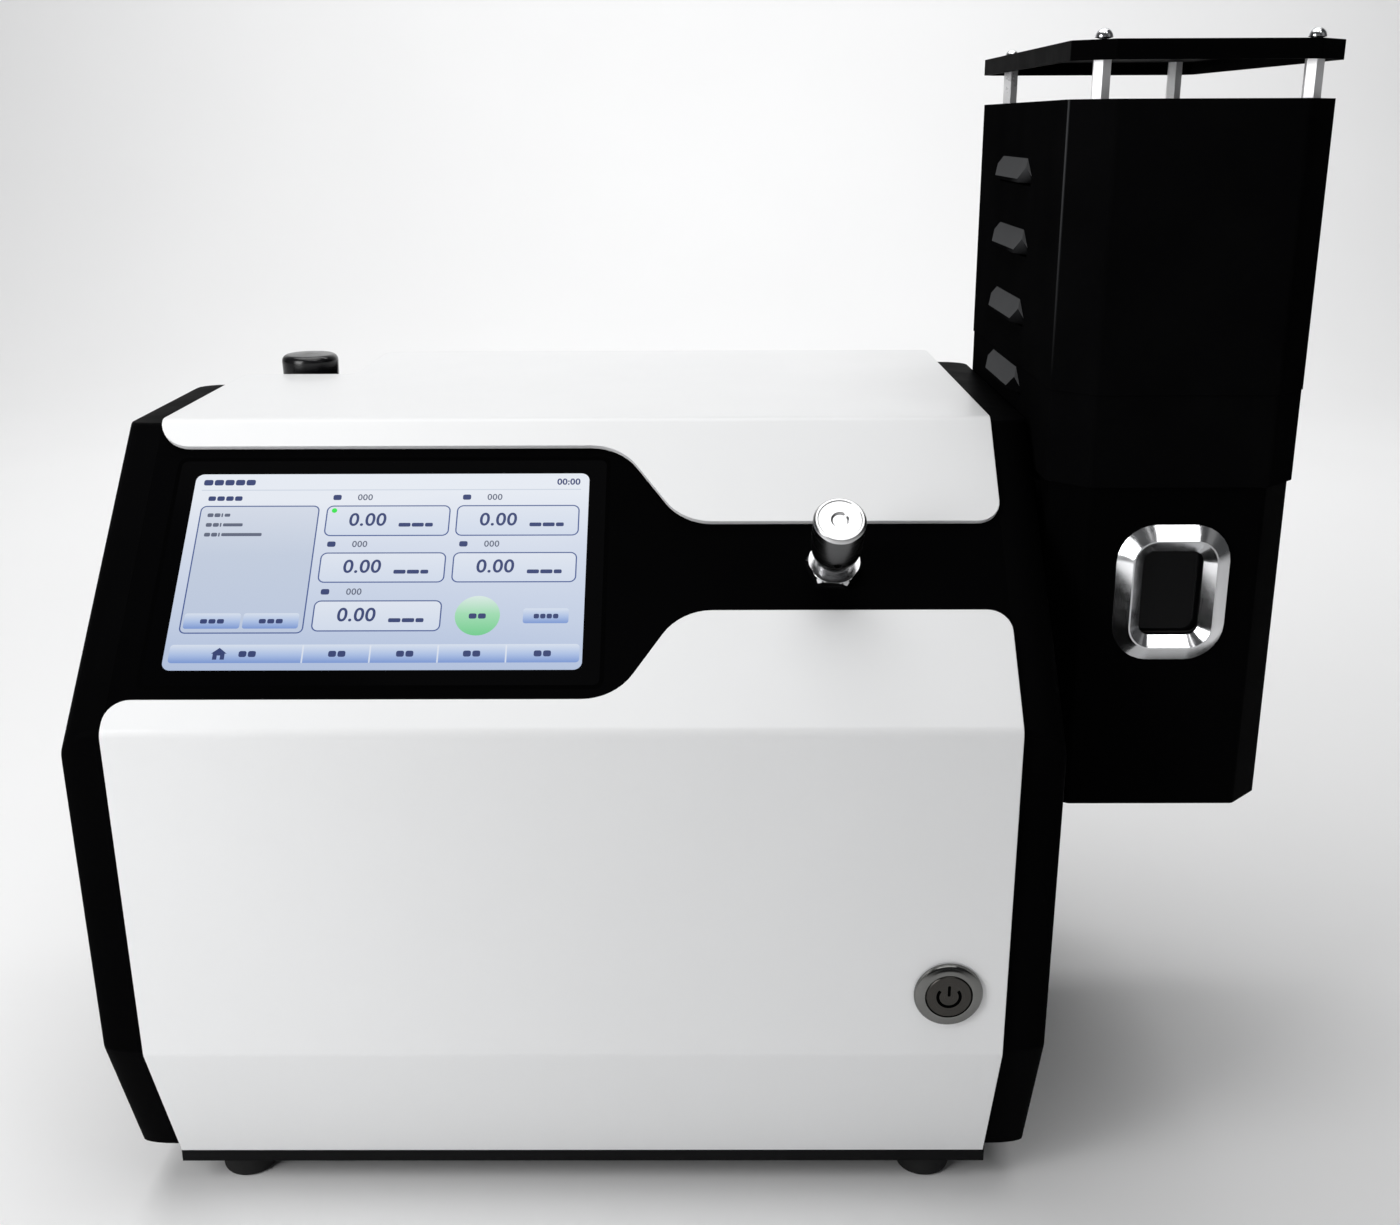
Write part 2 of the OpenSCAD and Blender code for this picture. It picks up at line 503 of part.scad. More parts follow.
module cap_screws() {
  color([0.78, 0.78, 0.8]) for (x = [sl_x0 + 10.4, sl_x1 - 10.4], y = [ch_y + 10.8, sl_y1 - 13]) translate([x, y, cap_z1]) difference() {
    union() {
      rotate_extrude() polygon(concat([[0, 0]], [for (a = [0:10:90]) [3.2 * cos(a), 0.9 + 3.2 * sin(a)]]));
      translate([0, 0, -9]) cylinder(r = 1.5, h = 9.2);
    }
    translate([0, 0, 2.4]) hexprism(2, 3);
  }
}
// bevelled ring swept round a rounded rectangle
module ring(w, h, r, prof) {
  n = len(prof);
  S = [for (p = prof) rndc([[-w / 2 + p[0], -h / 2 + p[0]], [w / 2 - p[0], -h / 2 + p[0]], [w / 2 - p[0], h / 2 - p[0]], [-w / 2 + p[0], h / 2 - p[0]]], max(r - p[0], 1.5), 7)];
  m = len(S[0]);
  pts = [for (j = [0:n - 1], i = [0:m - 1]) [S[j][i][0], S[j][i][1], prof[j][1]]];
  polyhedron(pts, concat(
    [for (j = [0:n - 1], i = [0:m - 1]) [j * m + i, ((j + 1) % n) * m + i, ((j + 1) % n) * m + (i + 1) % m]],
    [for (j = [0:n - 1], i = [0:m - 1]) [j * m + i, ((j + 1) % n) * m + (i + 1) % m, j * m + (i + 1) % m]]));
}
module window_bezel() {
  color([0.85, 0.85, 0.87]) translate([bx + 0.6, ch_y + 1.9, win_z]) rotate([90, 0, 0])
    ring(43.4, 54, 14.5, [[0, 0], [0, 1.2], [5.4, 5.2], [6, 5.2], [10.2, 1.6], [10.2, 0]]);
}
module window_gasket() {
  color([0.02, 0.02, 0.02]) translate([bx + 0.6, ch_y + 3.4, win_z]) rotate([-90, 0, 0])
    linear_extrude(1) difference() { polygon(rrect(32, 40, 6)); polygon(rrect(25, 33, 4)); }
}
module window_glass() {
  color([0.1, 0.12, 0.14, 0.5]) translate([bx + 0.6, ch_y + 4.4, win_z]) rotate([-90, 0, 0]) linear_extrude(2) polygon(rrect(32, 40, 6));
}
module glass_chimney() {
  color([0.8, 0.9, 0.95, 0.3]) translate([bx, by, 207.6]) tube(32, 30, 192);
}
module burner_bracket() {
  color([0.62, 0.62, 0.64]) difference() {
    union() {
      box(sl_x0 + 3.8, sl_x1 - 3.8, by - 40, by + 48, 206, 207.5);
      box(sl_x0 + 3.8, sl_x0 + 5.3, by - 20, by + 20, 207.5, 230);
      box(sl_x1 - 5.3, sl_x1 - 3.8, by - 20, by + 20, 207.5, 230);
    }
    translate([bx, by, 190]) cylinder(r = 20.2, h = 40);
    translate([bx + 22.1, by + 13.7, 190]) cylinder(r = 3.3, h = 40);
    bar_x(sl_x0, sl_x0 + 8, by, opt_z - 4, 22);
  }
}
module mixing_chamber() {
  color([0.86, 0.87, 0.88]) translate([bx, by, 0]) difference() {
    union() {
      translate([0, 0, 182]) cylinder(r = 20, h = 34);
      translate([0, 0, 203]) cylinder(r = 22, h = 2.9);
      translate([0, 0, 216]) cylinder(r1 = 20, r2 = 12, h = 6);
      translate([0, 0, 172]) cylinder(r = 8, h = 11);
      translate([-40, -30, 200]) rotate([0, 90, 0]) cylinder(r = 4, h = 24);
      translate([-18, -30, 196]) cube([16, 16, 8]);
    }
    translate([0, 0, 185]) cylinder(r = 17.5, h = 29);
    translate([0, 0, 210]) cylinder(r = 9, h = 20);
    translate([0, 0, 160]) cylinder(r = 5.05, h = 30);
    translate([-42, -30, 200]) rotate([0, 90, 0]) cylinder(r = 2.2, h = 36);
    translate([0, 26, 188]) rotate([90, 0, 0]) cylinder(r = 4.05, h = 12);
  }
}
module burner_head() {
  color([0.72, 0.6, 0.35]) translate([bx, by, 0]) difference() {
    union() {
      translate([0, 0, 212]) cylinder(r = 8.95, h = 12);
      translate([0, 0, 222]) cylinder(r = 13, h = 15);
      translate([0, 0, 235]) cylinder(r = 15.5, h = 3);
    }
    translate([0, 0, 211]) cylinder(r = 7, h = 24);
    for (k = [1:2], a = [0:60 / k:359]) rotate([0, 0, a]) translate([4.2 * k, 0, 230]) cylinder(r = 0.9, h = 12);
    translate([0, 0, 230]) cylinder(r = 0.9, h = 12);
  }
}
module nebulizer() {
  color([0.7, 0.7, 0.72]) translate([bx, by, 0]) difference() {
    union() {
      translate([0, 0, 166]) cylinder(r = 5, h = 22);
      translate([0, 0, 150]) cylinder(r = 7.5, h = 16);
      translate([0, 0, 140]) cylinder(r = 3, h = 11);
      translate([0, 0, 132]) cylinder(r = 1, h = 9);
      translate([0, 6, 154.5]) rotate([-90, 0, 0]) cylinder(r = 3, h = 17);
    }
    translate([0, 0, 131]) cylinder(r = 0.4, h = 60);
    translate([0, 8, 154.5]) rotate([-90, 0, 0]) cylinder(r = 1.5, h = 16);
  }
}
module drain_elbow() {
  color([0.88, 0.88, 0.86]) translate([bx, by, 0]) difference() {
    union() {
      translate([0, 18, 188]) rotate([-90, 0, 0]) cylinder(r = 4, h = 12);
      box(-5.5, 18, 28.5, 39.5, 182.5, 193.5);
      translate([12, 34, 160]) cylinder(r = 4.8, h = 24);
      translate([12, 34, 140]) cylinder(r = 4, h = 21);
    }
    translate([12, 34, 139]) cylinder(r = 2.6, h = 49);
    translate([0, 17, 188]) rotate([-90, 0, 0]) cylinder(r = 2.4, h = 15);
    translate([-2, 34, 188]) rotate([0, 90, 0]) cylinder(r = 2.4, h = 12);
  }
}
module igniter() {
  color([0.9, 0.88, 0.82]) translate([bx + 22.1, by + 13.7, 0]) {
    translate([0, 0, 196]) cylinder(r = 3, h = 38);
    translate([0, 0, 232]) cylinder(r = 0.8, h = 8);
    translate([0, 0, 240]) rotate([0, -90, 30]) cylinder(r = 0.8, h = 12);
    translate([-3, -4, 180]) cube([14, 13, 16]);
  }
}

// ---------- optics ----------
module optical_block() {
  color([0.1, 0.1, 0.11]) difference() {
    union() {
      box(96, 158, by - 42, by + 42, opt_z - 26, opt_z + 26);
      bar_x(157, 184, by, opt_z, 20.5);
      box(100, 150, by - 46, by + 46, opt_z - 30, opt_z - 26);
    }
    box(112, 150, by - 38, by + 38, opt_z - 20, opt_z + 20);
    bar_x(148, 190, by, opt_z, 17.1);
    for (i = [-2:2]) bar_x(90, 113, by + i * 15, opt_z, 6.1);
  }
}
module lens() {
  color([0.8, 0.9, 0.95, 0.35]) translate([168, by, opt_z]) rotate([0, 90, 0])
    rotate_extrude() polygon(concat([[0, -3.6]], [for (k = [1:8]) [17 * k / 8, -1 - 2.6 * (1 - pow(k / 8, 2))]], [for (k = [8:-1:1]) [17 * k / 8, 1 + 2.6 * (1 - pow(k / 8, 2))]], [[0, 3.6]]));
}
module filters() {
  color([0.6, 0.3, 0.7, 0.6]) for (i = [-2:2]) bar_x(107, 110, by + i * 15, opt_z, 6);
}
module detectors() {
  color([0.75, 0.75, 0.76]) for (i = [-2:2]) { bar_x(98, 102, by + i * 15, opt_z, 4.6); bar_x(94.5, 98, by + i * 15, opt_z, 5.2); }
}
module detector_board() {
  color([0.05, 0.3, 0.16]) {
    box(92.8, 94.4, by - 38, by + 38, opt_z - 18, opt_z + 18);
    for (i = [-2:2]) box(90, 92.8, by + i * 15 - 4, by + i * 15 + 4, opt_z - 4, opt_z + 4);
  }
}

// ---------- electronics ----------
module main_board() {
  color([0.05, 0.3, 0.16]) difference() {
    union() {
      box(-10, 150, 60, 180, 24.4, 26);
      box(30, 50, 90, 110, 26, 29);
      box(80, 92, 80, 92, 26, 28.5);
      for (i = [0:3]) translate([100 + i * 12, 160, 26]) cylinder(r = 4, h = 12);
      for (i = [0:4]) box(0, 12, 66 + i * 22, 80 + i * 22, 26, 36);
      box(110, 140, 66, 76, 26, 38);
    }
    for (x = [-5, 145], y = [65, 175]) translate([x, y, 20]) cylinder(r = 1.6, h = 10);
  }
}
module board_pillars() {
  color([0.78, 0.7, 0.4]) for (x = [-5, 145], y = [65, 175]) translate([x, y, foot_h + 2]) difference() {
    hexprism(5.5, 10);
    translate([0, 0, 4]) cylinder(r = 1.4, h = 10);
  }
}
module power_supply() {
  color([0.75, 0.76, 0.77]) difference() {
    box(-150, -52, 60, 189, foot_h + 2, foot_h + 40);
    for (i = [0:9]) box(-140 + i * 8, -136 + i * 8, 90, 170, foot_h + 36, foot_h + 50);
    box(-146, -56, 59, 72, foot_h + 16, foot_h + 50);
  }
}
module mains_inlet() {
  color([0.03, 0.03, 0.03]) difference() {
    union() {
      translate([-100, 285.6, 60]) rotate([-90, 0, 0]) linear_extrude(3) polygon(rrect(60, 31, 4));
      translate([-100, 262, 60]) box(-23.5, 23.5, 0, 24, -13.5, 13.5);
    }
    translate([-100, 272, 60]) box(-21, 3.5, 0, 20, -8, 8);
    translate([-100, 266, 60]) box(8, 20.2, 0, 25, -9.2, 9.2);
  }
  color([0.8, 0.7, 0.4]) for (i = [-1:1]) translate([-100 - 8.75 + i * 7, 0, 60 + (i == 0 ? 3 : -2)]) box(-1, 1, 270, 282.5, -2, 2);
}
module fuse_drawer() {
  color([0.08, 0.08, 0.08]) difference() {
    union() {
      translate([-100, 267, 60]) box(8.4, 19.8, 0, 21, -8.8, 8.8);
      translate([-100, 288, 60]) box(9, 19.2, 0, 1.6, -8.2, 8.2);
    }
    translate([-100, 268, 60]) box(7, 17.8, 0, 17, -3.2, 3.2);
    translate([-100, 289, 60]) box(12, 16.2, 0, 2, -1, 1);
  }
}
module serial_port() {
  color([0.7, 0.71, 0.73]) {
    translate([-10, 285.6, 59.5]) box(-15.4, 15.4, 0, 1, -6.25, 6.25);
    translate([-10, 274, 59.5]) box(-10, 10, 0, 12, -5.2, 5.2);
    translate([-10, 286.5, 59.5]) rotate([-90, 0, 0]) linear_extrude(5.5) polygon(rndc([[-8.5, 4.2], [8.5, 4.2], [7.6, -4.2], [-7.6, -4.2]], 1.5, 4));
    for (x = [-22.5, 2.5]) translate([x, 286.5, 59.5]) rotate([-90, 0, 0]) hexprism(5, 5);
  }
}

// ---------- gas train ----------
module air_inlet() {
  color([0.6, 0.62, 0.64]) difference() {
    union() {
      bar_y(270, 296, 60, 80, 7);
      translate([60, 285.6, 80]) rotate([-90, 0, 0]) hexprism(17, 4);
      bar_y(296, back_max, 60, 80, 6.6);
      bar_y(256, 271, 60, 80, 4);
    }
    bar_y(288, back_max + 1, 60, 80, 4.05);
    bar_y(250, 290, 60, 80, 2);
  }
}
module gas_inlet() {
  color([0.75, 0.65, 0.35]) difference() {
    union() {
      bar_y(272, 288, 110, 80, 6.5);
      translate([110, 285.6, 80]) rotate([-90, 0, 0]) hexprism(16, 4);
      bar_y(288, back_max, 110, 80, 4.5);
      bar_y(256, 273, 110, 80, 4);
    }
    bar_y(250, back_max + 1, 110, 80, 2);
  }
}
module solenoid_valve() {
  color([0.55, 0.5, 0.35]) difference() {
    union() {
      box(96, 124, 216, 246, 66, 94);
      translate([110, 231, 94]) cylinder(r = 13, h = 30);
      translate([110, 231, 124]) cylinder(r = 5, h = 4);
      bar_y(246, 256, 110, 80, 5);
      bar_y(206, 216, 110, 80, 4);
      box(100, 120, 222, 240, foot_h + 2, 66);
    }
    translate([110, 231, 84]) cylinder(r = 4.05, h = 34);
    bar_y(240, 257, 110, 80, 2);
    bar_y(205, 222, 110, 80, 2);
  }
}
module solenoid_plunger() {
  color([0.7, 0.7, 0.72]) translate([110, 231, 85]) cylinder(r = 4, h = 28);
}
module gas_tube() {
  a = [110, 206, 80]; d = [bx - 40, by - 30, 200];
  color([0.85, 0.3, 0.1]) sweep(concat([[110, 205.9, 80], [110, 200, 80]],
    [for (k = [0.05:0.05:0.95]) bez([110, 200, 80], [110, 150, 82], [120, by - 30, 200], [178, by - 30, 200], k)], [[178, by - 30, 200], [bx - 40.1, by - 30, 200]]), 3.4);
}
module air_tube() {
  color([0.15, 0.35, 0.8]) sweep(concat([[60, 255.9, 80], [60, 248, 80]],
    [for (k = [0.05:0.05:0.95]) bez([60, 248, 80], [60, 200, 80], [40, 238, 150], [-20, 240, 200], k)],
    [for (k = [0:0.05:0.95]) bez([-20, 240, 200], [-60, 241, 238], [-70, 238, 242], [-100, 238, 242], k)], [[-100, 238, 242], [-109.4, 238, 242]]), 3.4);
}

// ---------- placing every piece in the part's frame ----------
module place() { translate([-x_mid, -y_mid, 0]) children(); }
place() left_cheek();
place() right_cheek();
place() wrap_shell();
place() front_cover();
place() upper_cover();
place() base_tray();
place() rear_panel();
place() regulator_deck();
place() rubber_feet();
place() foot_screws();
place() touch_glass();
place() lcd_module();
place() display_board();
place() valve_body();
place() valve_nut();
place() valve_stem();
place() valve_knob();
place() valve_grub_screw();
place() button_body();
place() button_cap();
place() button_nut();
place() button_seal();
place() regulator_body();
place() regulator_nut();
place() regulator_screw();
place() regulator_knob();
place() burner_housing();
place() chimney_sleeve();
place() chimney_cap();
place() cap_standoffs();
place() cap_screws();
place() window_bezel();
place() window_gasket();
place() window_glass();
place() glass_chimney();
place() burner_bracket();
place() mixing_chamber();
place() burner_head();
place() nebulizer();
place() drain_elbow();
place() igniter();
place() optical_block();
place() lens();
place() filters();
place() detectors();
place() detector_board();
place() main_board();
place() board_pillars();
place() power_supply();
place() mains_inlet();
place() fuse_drawer();
place() serial_port();
place() air_inlet();
place() gas_inlet();
place() solenoid_valve();
place() solenoid_plunger();
place() gas_tube();
place() air_tube();
place() panel_screws();
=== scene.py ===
import bpy, bmesh, math, random
from mathutils import Vector, Matrix


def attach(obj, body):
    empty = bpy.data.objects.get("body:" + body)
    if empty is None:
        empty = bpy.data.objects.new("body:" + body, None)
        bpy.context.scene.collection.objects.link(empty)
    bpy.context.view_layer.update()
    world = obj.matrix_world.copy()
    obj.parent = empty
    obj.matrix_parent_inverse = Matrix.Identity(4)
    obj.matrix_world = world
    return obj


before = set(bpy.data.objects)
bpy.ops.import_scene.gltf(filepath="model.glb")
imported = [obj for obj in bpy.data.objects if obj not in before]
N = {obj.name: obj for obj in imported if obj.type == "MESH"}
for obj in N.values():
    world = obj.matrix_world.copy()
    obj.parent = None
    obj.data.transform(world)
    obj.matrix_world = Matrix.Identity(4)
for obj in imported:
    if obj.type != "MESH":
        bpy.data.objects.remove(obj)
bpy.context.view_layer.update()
random.seed(11)

# ------------------------------------------------------------------ the part's own frame, in mm
XM, YM = 50.05, 152.85
FOLD_Z, RUN, TOP_Z, TOE_Z = 215.3, 99.3, 310.7, 81.4
SA = math.atan2(TOP_Z - FOLD_Z, RUN)
FA = math.atan2(FOLD_Z - TOE_Z, -3.0)


def P(x, y, z):
    return Vector(((x - XM) / 1000, (y - YM) / 1000, z / 1000))


def plane_frame(x, y, z, ang):
    """Local frame lying on a face that leans by ang: x across, y up the face, z outwards."""
    m = Matrix.Rotation(ang, 4, "X")
    m.translation = P(x, y, z)
    return m


def slope_m(x=0, t=0, h=0):
    return plane_frame(0, 0, FOLD_Z, SA) @ Matrix.Translation((x / 1000, t / 1000, h / 1000))


def front_m(x=0, t=0, h=0):
    return plane_frame(0, 3, TOE_Z, FA) @ Matrix.Translation((x / 1000, t / 1000, h / 1000))


# ------------------------------------------------------------------ materials
def mat(name):
    m = bpy.data.materials.new(name)
    m.use_nodes = True
    nt = m.node_tree
    return m, nt, nt.nodes["Principled BSDF"]


def noise(nt, scale, detail=3.0, rough=0.5, vec=None):
    n = nt.nodes.new("ShaderNodeTexNoise")
    n.inputs["Scale"].default_value = scale
    n.inputs["Detail"].default_value = detail
    n.inputs["Roughness"].default_value = rough
    if vec is None:
        tc = nt.nodes.new("ShaderNodeTexCoord")
        vec = tc.outputs["Object"]
    nt.links.new(vec, n.inputs["Vector"])
    return n


def maprange(nt, src, lo, hi, a=0.0, b=1.0):
    n = nt.nodes.new("ShaderNodeMapRange")
    n.inputs["From Min"].default_value = a
    n.inputs["From Max"].default_value = b
    n.inputs["To Min"].default_value = lo
    n.inputs["To Max"].default_value = hi
    nt.links.new(src, n.inputs["Value"])
    return n.outputs["Result"]


def ramp(nt, src, stops):
    n = nt.nodes.new("ShaderNodeValToRGB")
    e = n.color_ramp.elements
    while len(e) < len(stops):
        e.new(0.5)
    for i, (p, c) in enumerate(stops):
        e[i].position = p
        e[i].color = (*c, 1)
    nt.links.new(src, n.inputs["Fac"])
    return n.outputs["Color"]


def bump(nt, bsdf, height, strength, dist):
    b = nt.nodes.new("ShaderNodeBump")
    b.inputs["Strength"].default_value = strength
    b.inputs["Distance"].default_value = dist
    nt.links.new(height, b.inputs["Height"])
    nt.links.new(b.outputs["Normal"], bsdf.inputs["Normal"])
    return b


def round_edges(nt, b, radius):
    """Soft rounding of folded and cut edges, feeding the bump."""
    e = nt.nodes.new("ShaderNodeBevel")
    e.samples = 4
    e.inputs["Radius"].default_value = radius
    nt.links.new(e.outputs["Normal"], b.inputs["Normal"])


def painted(name, c0, c1, rough, fine=900.0, strength=0.08, dist=0.0002, spec=0.5, coat=0.0, blotch=9.0, dr=0.05, edge=0.0):
    """Painted or coated sheet: faint colour drift, fine skin texture, uneven gloss."""
    m, nt, b = mat(name)
    big = noise(nt, blotch, 4)
    col = ramp(nt, big.outputs["Fac"], [(0.3, c0), (0.7, c1)])
    nt.links.new(col, b.inputs["Base Color"])
    mid = noise(nt, 60, 5, 0.6)
    nt.links.new(maprange(nt, mid.outputs["Fac"], rough - dr, rough + dr, 0.3, 0.7), b.inputs["Roughness"])
    b.inputs["Specular IOR Level"].default_value = spec
    b.inputs["Coat Weight"].default_value = coat
    b.inputs["Coat Roughness"].default_value = 0.12
    f = noise(nt, fine, 2)
    bn = bump(nt, b, f.outputs["Fac"], strength, dist)
    if edge:
        round_edges(nt, bn, edge)
    return m


def metal(name, col, rough, streak=(40, 40, 40), strength=0.05, dr=0.06, scale=30.0):
    m, nt, b = mat(name)
    tc = nt.nodes.new("ShaderNodeTexCoord")
    mp = nt.nodes.new("ShaderNodeMapping")
    mp.inputs["Scale"].default_value = streak
    nt.links.new(tc.outputs["Object"], mp.inputs["Vector"])
    n = noise(nt, scale, 4, 0.6, mp.outputs["Vector"])
    nt.links.new(ramp(nt, n.outputs["Fac"], [(0.25, tuple(v * 0.9 for v in col)), (0.75, col)]), b.inputs["Base Color"])
    b.inputs["Metallic"].default_value = 1.0
    nt.links.new(maprange(nt, n.outputs["Fac"], max(0.02, rough - dr), rough + dr, 0.3, 0.7), b.inputs["Roughness"])
    bump(nt, b, n.outputs["Fac"], strength, 0.0001)
    return m


def turned(name, col, rough, m4, pitch=3500.0, strength=0.12, dr=0.05, top=None):
    """Lathe-turned metal: fine rings about the axis of the frame m4 (metres)."""
    m, nt, b = mat(name)
    tc = nt.nodes.new("ShaderNodeTexCoord")
    inv = m4.inverted()
    mp = nt.nodes.new("ShaderNodeMapping")
    mp.inputs["Location"].default_value = inv.translation
    mp.inputs["Rotation"].default_value = inv.to_euler()
    nt.links.new(tc.outputs["Object"], mp.inputs["Vector"])
    sp = nt.nodes.new("ShaderNodeSeparateXYZ")
    nt.links.new(mp.outputs["Vector"], sp.inputs["Vector"])

    def op(kind, a, c=None, v=None):
        n = nt.nodes.new("ShaderNodeMath")
        n.operation = kind
        nt.links.new(a, n.inputs[0])
        if c is not None:
            nt.links.new(c, n.inputs[1])
        if v is not None:
            n.inputs[1].default_value = v
        return n.outputs[0]

    r = op("SQRT", op("ADD", op("MULTIPLY", sp.outputs["X"], sp.outputs["X"]), op("MULTIPLY", sp.outputs["Y"], sp.outputs["Y"])))
    cb = nt.nodes.new("ShaderNodeCombineXYZ")
    nt.links.new(r, cb.inputs["X"])
    nt.links.new(sp.outputs["Z"], cb.inputs["Y"])
    n = noise(nt, pitch, 2, 0.5, cb.outputs["Vector"])
    big = noise(nt, 160, 3, 0.5)
    side = ramp(nt, big.outputs["Fac"], [(0.3, tuple(v * 0.93 for v in col)), (0.7, col)])
    if top:
        # painted highlight: the end above local height top[0] gets one brighter flat colour instead of the turned side
        # tone
        mx = nt.nodes.new("ShaderNodeMix")
        mx.data_type = "RGBA"
        nt.links.new(op("GREATER_THAN", sp.outputs["Z"], v=top[0]), mx.inputs[0])
        nt.links.new(side, mx.inputs[6])
        mx.inputs[7].default_value = (*top[1], 1)
        side = mx.outputs[2]
    nt.links.new(side, b.inputs["Base Color"])
    b.inputs["Metallic"].default_value = 1.0
    nt.links.new(maprange(nt, n.outputs["Fac"], max(0.02, rough - dr), rough + dr, 0.3, 0.7), b.inputs["Roughness"])
    bump(nt, b, n.outputs["Fac"], strength, 0.00005)
    return m


def plastic(name, c, rough=0.4, spec=0.4, fine=500.0, strength=0.06):
    return painted(name, tuple(v * 0.92 for v in c), tuple(min(1, v * 1.06) for v in c), rough, fine, strength, 0.0001, spec, 0.0, 30.0)


def lit(name, stops, strength=1.0, axis="v", wave=0.0):
    """Lit part of the screen: colour runs along the piece's own UV."""
    m, nt, b = mat(name)
    uv = nt.nodes.new("ShaderNodeUVMap")
    uv.uv_map = "ui"
    sp = nt.nodes.new("ShaderNodeSeparateXYZ")
    nt.links.new(uv.outputs["UV"], sp.inputs["Vector"])
    src = sp.outputs["Y" if axis == "v" else "X"]
    if wave:
        n = noise(nt, 1.3, 1, 0.4, uv.outputs["UV"])
        a = nt.nodes.new("ShaderNodeMath")
        a.operation = "MULTIPLY_ADD"
        nt.links.new(n.outputs["Fac"], a.inputs[0])
        a.inputs[1].default_value = wave
        nt.links.new(src, a.inputs[2])
        src = a.outputs[0]
    col = ramp(nt, src, stops)
    b.inputs["Base Color"].default_value = (0.01, 0.01, 0.012, 1)
    b.inputs["Roughness"].default_value = 0.3
    b.inputs["Specular IOR Level"].default_value = 0.2
    nt.links.new(col, b.inputs["Emission Color"])
    b.inputs["Emission Strength"].default_value = strength
    return m


WHITE = painted("gloss_white_paint", (0.87, 0.875, 0.88), (0.90, 0.905, 0.91), 0.36, 1400, 0.05, 0.0001, 0.4, 0.2, 5.0, edge=0.0005)
BLACK = painted("black_powder_coat", (0.0012, 0.0012, 0.0013), (0.0020, 0.0020, 0.0022), 0.45, 1700, 0.15, 0.0001, 0.003, edge=0.0006)
FASCIA = painted("black_fascia", (0.0010, 0.0010, 0.0011), (0.0016, 0.0016, 0.0018), 0.4, 1700, 0.08, 0.0001, 0.002)
SHEET = painted("black_sheet_paint", (0.0012, 0.0012, 0.0013), (0.0020, 0.0020, 0.0022), 0.48, 1500, 0.15, 0.0001, 0.003, edge=0.0006)


def sleeve_paint_with_painted_highlights():
    """Black sheet; the up-facing faces of the pressed hoods carry a painted highlight, a paler grey than the flat
    walls.
    """
    m, nt, b = mat("sleeve_paint_with_painted_highlights")
    tc = nt.nodes.new("ShaderNodeTexCoord")
    sp = nt.nodes.new("ShaderNodeSeparateXYZ")
    nt.links.new(tc.outputs["Object"], sp.inputs["Vector"])
    ge = nt.nodes.new("ShaderNodeNewGeometry")
    sn = nt.nodes.new("ShaderNodeSeparateXYZ")
    nt.links.new(ge.outputs["Normal"], sn.inputs["Vector"])

    def op(kind, a, c=None, v=None):
        n = nt.nodes.new("ShaderNodeMath")
        n.operation = kind
        nt.links.new(a, n.inputs[0])
        if c is not None:
            nt.links.new(c, n.inputs[1])
        if v is not None:
            n.inputs[1].default_value = v
        return n.outputs[0]

    # painted highlight: faces standing off the wall plane and facing up get a pale grey instead of black
    off = op("GREATER_THAN", op("ABSOLUTE", op("SUBTRACT", sp.outputs["X"], v=0.18025)), v=0.0482)
    up = op("GREATER_THAN", sn.outputs["Z"], v=0.15)
    big = noise(nt, 30, 4)
    plain = ramp(nt, big.outputs["Fac"], [(0.3, (0.0022, 0.0022, 0.0024)), (0.7, (0.0032, 0.0032, 0.0034))])
    hood_painted_highlight = ramp(nt, big.outputs["Fac"], [(0.3, (0.064, 0.065, 0.067)), (0.7, (0.070, 0.071, 0.073))])
    mx = nt.nodes.new("ShaderNodeMix")
    mx.data_type = "RGBA"
    nt.links.new(op("MULTIPLY", off, up), mx.inputs[0])
    nt.links.new(plain, mx.inputs[6])
    nt.links.new(hood_painted_highlight, mx.inputs[7])
    # painted highlight along the bend between the side wall and the front chamfer, ramped in with height between 0.33
    # and 0.41 m
    bend_painted_highlight = op("MULTIPLY", op("LESS_THAN", sn.outputs["X"], v=-0.5), maprange(nt, op("ABSOLUTE", op("ADD", sn.outputs["Y"], v=0.33)), 1.0, 0.0, 0.0, 0.28))
    fade = maprange(nt, sp.outputs["Z"], 0.0, 1.0, 0.33, 0.41)
    m2 = nt.nodes.new("ShaderNodeMix")
    m2.data_type = "RGBA"
    nt.links.new(op("MULTIPLY", bend_painted_highlight, fade), m2.inputs[0])
    nt.links.new(mx.outputs[2], m2.inputs[6])
    m2.inputs[7].default_value = (0.06, 0.061, 0.064, 1)
    nt.links.new(m2.outputs[2], b.inputs["Base Color"])
    mid = noise(nt, 60, 5, 0.6)
    nt.links.new(maprange(nt, mid.outputs["Fac"], 0.42, 0.52, 0.3, 0.7), b.inputs["Roughness"])
    b.inputs["Specular IOR Level"].default_value = 0.0
    f = noise(nt, 1500, 2)
    round_edges(nt, bump(nt, b, f.outputs["Fac"], 0.15, 0.0001), 0.0006)
    return m


SLEEVE = sleeve_paint_with_painted_highlights()
TRAY = painted("tray_paint", (0.004, 0.004, 0.0045), (0.006, 0.006, 0.0065), 0.5, 1500, 0.25, 0.0001, 0.08, edge=0.0005)
RUBBER = plastic("foot_rubber", (0.012, 0.012, 0.012), 0.75, 0.25, 700, 0.2)
PLASTIC = plastic("black_moulding", (0.014, 0.014, 0.015), 0.45, 0.35)
KNOB_BLACK = plastic("regulator_black", (0.006, 0.006, 0.007), 0.22, 0.5)
WHITE_PL = plastic("natural_plastic", (0.82, 0.81, 0.77), 0.35)
CERAMIC = plastic("glazed_ceramic", (0.85, 0.82, 0.74), 0.25)
ORANGE = plastic("gas_hose", (0.75, 0.2, 0.04), 0.4)
BLUE = plastic("air_hose", (0.05, 0.2, 0.6), 0.3)
ZINC = metal("plated_steel", (0.62, 0.62, 0.63), 0.28)
